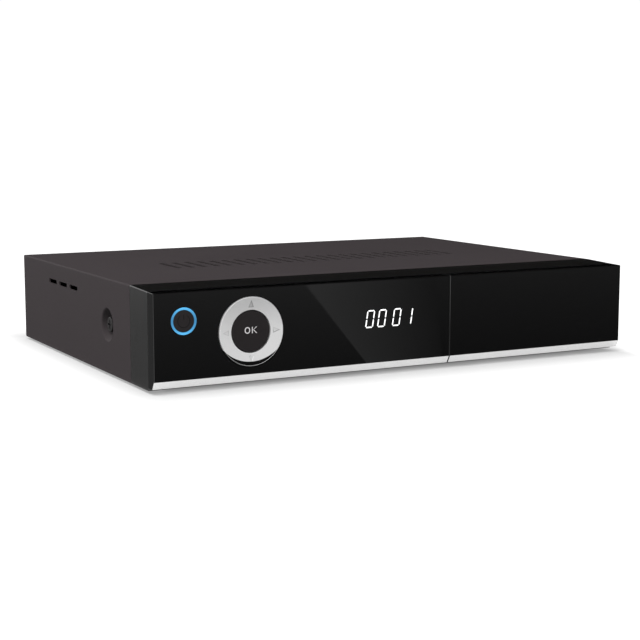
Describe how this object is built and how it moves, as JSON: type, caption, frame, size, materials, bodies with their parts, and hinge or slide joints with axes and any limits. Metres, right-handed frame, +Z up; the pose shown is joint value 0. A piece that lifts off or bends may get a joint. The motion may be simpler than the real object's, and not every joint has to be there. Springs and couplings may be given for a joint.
{
  "type": "satellite television receiver",
  "caption": "Low table-top satellite receiver: folded steel case, gloss black front with lit standby key, rocker ring round a confirm key, number display and a drop-down card flap.",
  "frame": {"origin": "middle of the overall box in plan, on the surface the feet stand on", "axes": "+X to the right as seen from the front, +Y to the rear panel, +Z up"},
  "size_m": [0.28, 0.216, 0.0502],
  "materials": {
    "powder_coat": "fine-grained matt powder coat, dark warm grey",
    "zinc_sheet": "zinc-plated sheet, satin",
    "frame_plastic": "fine spark-eroded grain, satin black",
    "gloss_black": "polished piano black",
    "bright_strip": "satin silver",
    "ring_silver": "metallic silver lacquer, satin",
    "key_black": "satin black",
    "lit_blue": "translucent, lit from behind",
    "rubber": "moulded rubber",
    "black_screw": "black-oxidised steel",
    "steel": "bright zinc",
    "nickel": "bright nickel plate",
    "board_green": "green solder mask",
    "inner_plastic": "moulded black",
    "natural_plastic": "natural moulding",
    "chip_black": "moulded epoxy",
    "sink_black": "black anodised",
    "ribbon_grey": "flat cable",
    "socket_black": "moulded black",
    "phono_orange": "moulded orange",
    "magnet": "nickel-plated magnet",
    "lamp_white": "lamp package"
  },
  "bodies": {
    "casing": {"top_cover": "powder_coat", "bottom_pan": "zinc_sheet", "rear_panel": "powder_coat", "rubber_feet": "rubber", "cover_side_screws": "black_screw", "cover_rear_screws": "black_screw", "pan_screws": "black_screw", "front_frame": "frame_plastic", "front_fascia": "gloss_black", "fascia_strip": "bright_strip", "flap_hinge_pins": "steel", "flap_catch_magnet": "magnet", "lit_ring": "lit_blue", "gimbal_pins": "steel", "button_guide": "inner_plastic", "front_board": "board_green", "front_board_screws": "steel", "key_switches": "chip_black", "display_block": "chip_black", "display_spacer": "natural_plastic", "receiver_eye": "chip_black", "ring_lamps": "lamp_white", "main_board": "board_green", "board_standoffs": "steel", "main_board_screws": "steel", "processor": "chip_black", "heat_sink": "sink_black", "memory_chips": "chip_black", "capacitors": "inner_plastic", "power_coils": "chip_black", "ribbon_headers": "natural_plastic", "ribbon_cable": "ribbon_grey", "tuner_can": "steel", "tuner_lid": "steel", "aerial_sockets": "nickel", "aerial_nuts": "nickel", "hdmi_socket": "nickel", "usb_socket": "nickel", "network_socket": "nickel", "optical_socket": "socket_black", "phono_socket": "phono_orange", "power_inlet": "socket_black", "card_cage": "steel", "card_header": "natural_plastic", "card_reader": "inner_plastic"},
    "flap": {"front_flap": "gloss_black", "flap_strip": "bright_strip", "flap_catch_plate": "steel"},
    "rocker_gimbal_body": {"rocker_gimbal": "inner_plastic"},
    "rocker_ring_body": {"rocker_ring": "ring_silver", "rocker_pins": "steel"},
    "ok_key": {"ok_button": "key_black"},
    "power_key": {"power_button": "key_black"}
  },
  "joints": [
    {"name": "flap_hinge", "type": "hinge", "parent": "casing", "child": "flap", "pos_m": [0.11, -0.1025, 0.005], "axis": [1, 0, 0], "range_deg": [0, 90]},
    {"name": "ring_up_down", "type": "hinge", "parent": "casing", "child": "rocker_gimbal_body", "pos_m": [-0.089, -0.0991, 0.0277], "axis": [1, 0, 0], "range_deg": [-1.8, 1.8], "stiffness_Nm_per_rad": 1.2},
    {"name": "ring_left_right", "type": "hinge", "parent": "rocker_gimbal_body", "child": "rocker_ring_body", "pos_m": [-0.089, -0.0991, 0.0277], "axis": [0, 0, 1], "range_deg": [-1.8, 1.8], "stiffness_Nm_per_rad": 1.2},
    {"name": "ok_press", "type": "slide", "parent": "casing", "child": "ok_key", "axis": [0, 1, 0], "range_m": [0, 0.0005], "stiffness_N_per_m": 400},
    {"name": "power_press", "type": "slide", "parent": "casing", "child": "power_key", "axis": [0, 1, 0], "range_m": [0, 0.0005], "stiffness_N_per_m": 400}
  ]
}
